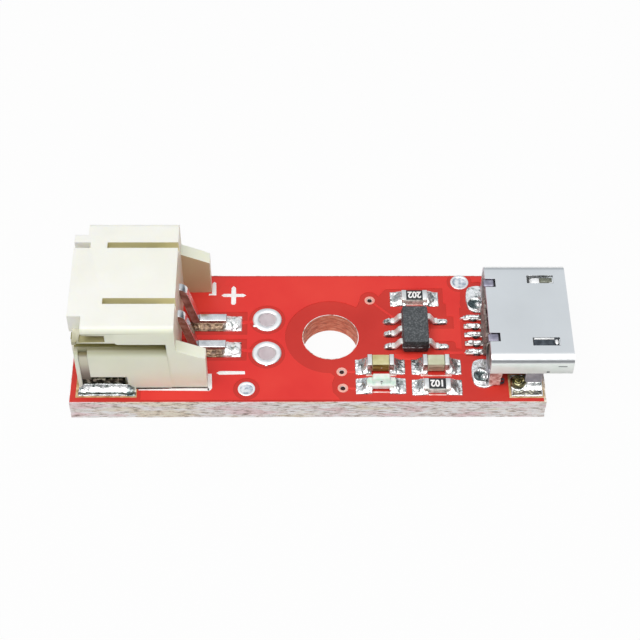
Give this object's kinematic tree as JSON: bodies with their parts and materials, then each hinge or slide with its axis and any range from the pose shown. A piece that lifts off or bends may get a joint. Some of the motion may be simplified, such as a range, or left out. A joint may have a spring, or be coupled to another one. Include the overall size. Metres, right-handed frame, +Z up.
{
  "type": "battery charger module",
  "caption": "Small red circuit board with a battery socket at one end, a charging socket at the other, and a charger chip, chip parts and a status light between them.",
  "frame": {"origin": "middle of the whole module's footprint, on the underside of the board", "axes": "+X along the board from the battery socket to the charging socket, +Y across the board towards the far edge, +Z up out of the board's component side"},
  "size_m": [0.0296, 0.0096, 0.0072],
  "materials": {
    "board_laminate": "glossy red mask over glass-fibre laminate",
    "tinned_copper": "bright tin plating",
    "housing_nylon": "satin ivory moulding",
    "solder": "bright solder",
    "shell_plated_steel": "smooth plated sheet",
    "insulator_plastic": "matt black moulding",
    "chip_epoxy": "matt black moulding",
    "end_cap_tin": "bright tin plating",
    "resistor_film": "satin black coat",
    "capacitor_ceramic_tan": "matt fired ceramic",
    "capacitor_ceramic_cream": "matt fired ceramic",
    "light_base_white": "matt white moulding",
    "light_lens": "milky resin"
  },
  "bodies": {
    "root": {"anchor_plate_far": "tinned_copper", "anchor_plate_near": "tinned_copper", "anchor_solder_far": "solder", "anchor_solder_near": "solder", "battery_contact_far": "tinned_copper", "battery_contact_near": "tinned_copper", "battery_contact_solder_far": "solder", "battery_contact_solder_near": "solder", "battery_socket_housing": "housing_nylon", "charger_chip": "chip_epoxy", "charging_contact_1": "tinned_copper", "charging_contact_2": "tinned_copper", "charging_contact_3": "tinned_copper", "charging_contact_4": "tinned_copper", "charging_contact_5": "tinned_copper", "charging_socket_insulator": "insulator_plastic", "charging_socket_shell": "shell_plated_steel", "chip_lead_1": "tinned_copper", "chip_lead_2": "tinned_copper", "chip_lead_3": "tinned_copper", "chip_lead_4": "tinned_copper", "chip_lead_5": "tinned_copper", "chip_lead_solder_1": "solder", "chip_lead_solder_2": "solder", "chip_lead_solder_3": "solder", "chip_lead_solder_4": "solder", "chip_lead_solder_5": "solder", "circuit_board": "board_laminate", "current_resistor_body": "resistor_film", "current_resistor_cap_left": "end_cap_tin", "current_resistor_cap_right": "end_cap_tin", "current_resistor_solder_left": "solder", "current_resistor_solder_right": "solder", "front_leg_solder_far": "solder", "front_leg_solder_near": "solder", "input_capacitor_body": "capacitor_ceramic_cream", "input_capacitor_cap_left": "end_cap_tin", "input_capacitor_cap_right": "end_cap_tin", "input_capacitor_solder_left": "solder", "input_capacitor_solder_right": "solder", "light_resistor_body": "resistor_film", "light_resistor_cap_left": "end_cap_tin", "light_resistor_cap_right": "end_cap_tin", "light_resistor_solder_left": "solder", "light_resistor_solder_right": "solder", "output_capacitor_body": "capacitor_ceramic_tan", "output_capacitor_cap_left": "end_cap_tin", "output_capacitor_cap_right": "end_cap_tin", "output_capacitor_solder_left": "solder", "output_capacitor_solder_right": "solder", "plated_hole_far": "tinned_copper", "plated_hole_near": "tinned_copper", "rear_leg_solder_far": "solder", "rear_leg_solder_near": "solder", "status_light_base": "light_base_white", "status_light_lens": "light_lens", "status_light_solder_left": "solder", "status_light_solder_right": "solder", "status_light_terminal_left": "end_cap_tin", "status_light_terminal_right": "end_cap_tin"}
  },
  "joints": []
}
